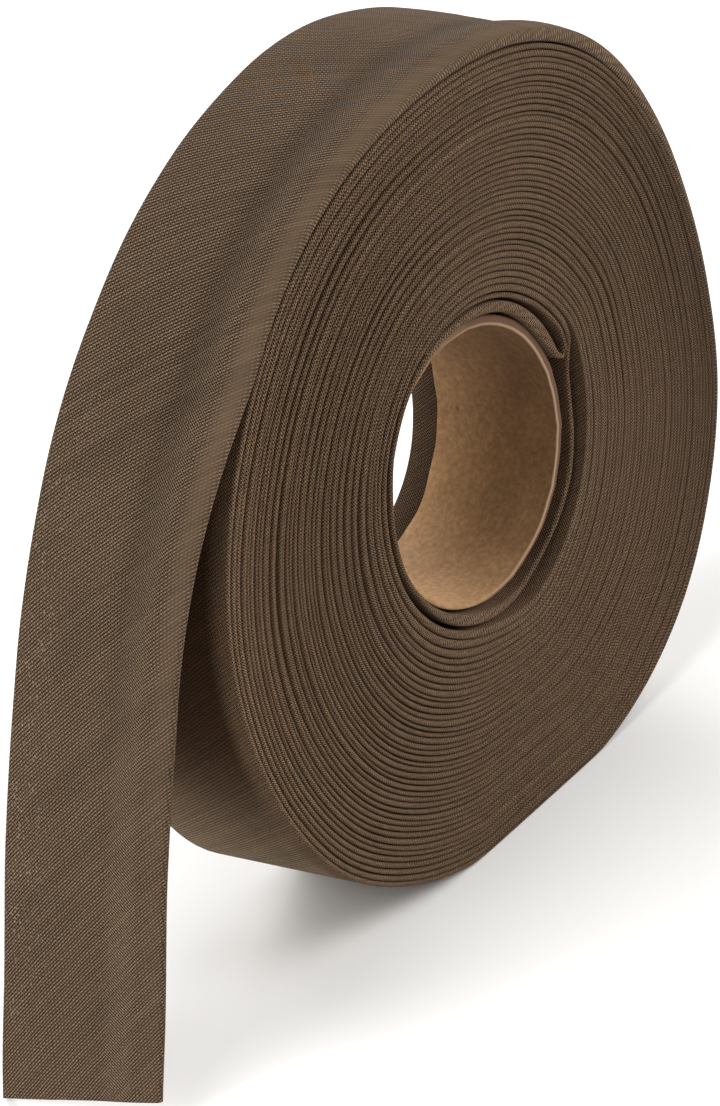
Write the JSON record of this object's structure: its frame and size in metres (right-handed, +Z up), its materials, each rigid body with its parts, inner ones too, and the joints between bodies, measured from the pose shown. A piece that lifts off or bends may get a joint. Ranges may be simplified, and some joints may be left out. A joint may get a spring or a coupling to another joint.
{
  "type": "roll of bias binding",
  "caption": "Folded cotton bias tape wound on a short cardboard core, standing on its edge with its free end hanging down one side.",
  "frame": {"origin": "on the resting plane, straight under the core's axis and halfway across the tape", "axes": "+Z up; +Y along the core's axis, away from the near face; -X towards the free end of the tape"},
  "size_m": [0.1359, 0.0252, 0.1061],
  "materials": {
    "bias_cotton": "matt plain-woven cotton cut on the bias",
    "kraft_cardboard": "matt unbleached cardboard"
  },
  "bodies": {
    "root": {"wound_roll": "bias_cotton", "loose_end": "bias_cotton", "inner_start": "bias_cotton", "core_tube": "kraft_cardboard"}
  },
  "joints": []
}
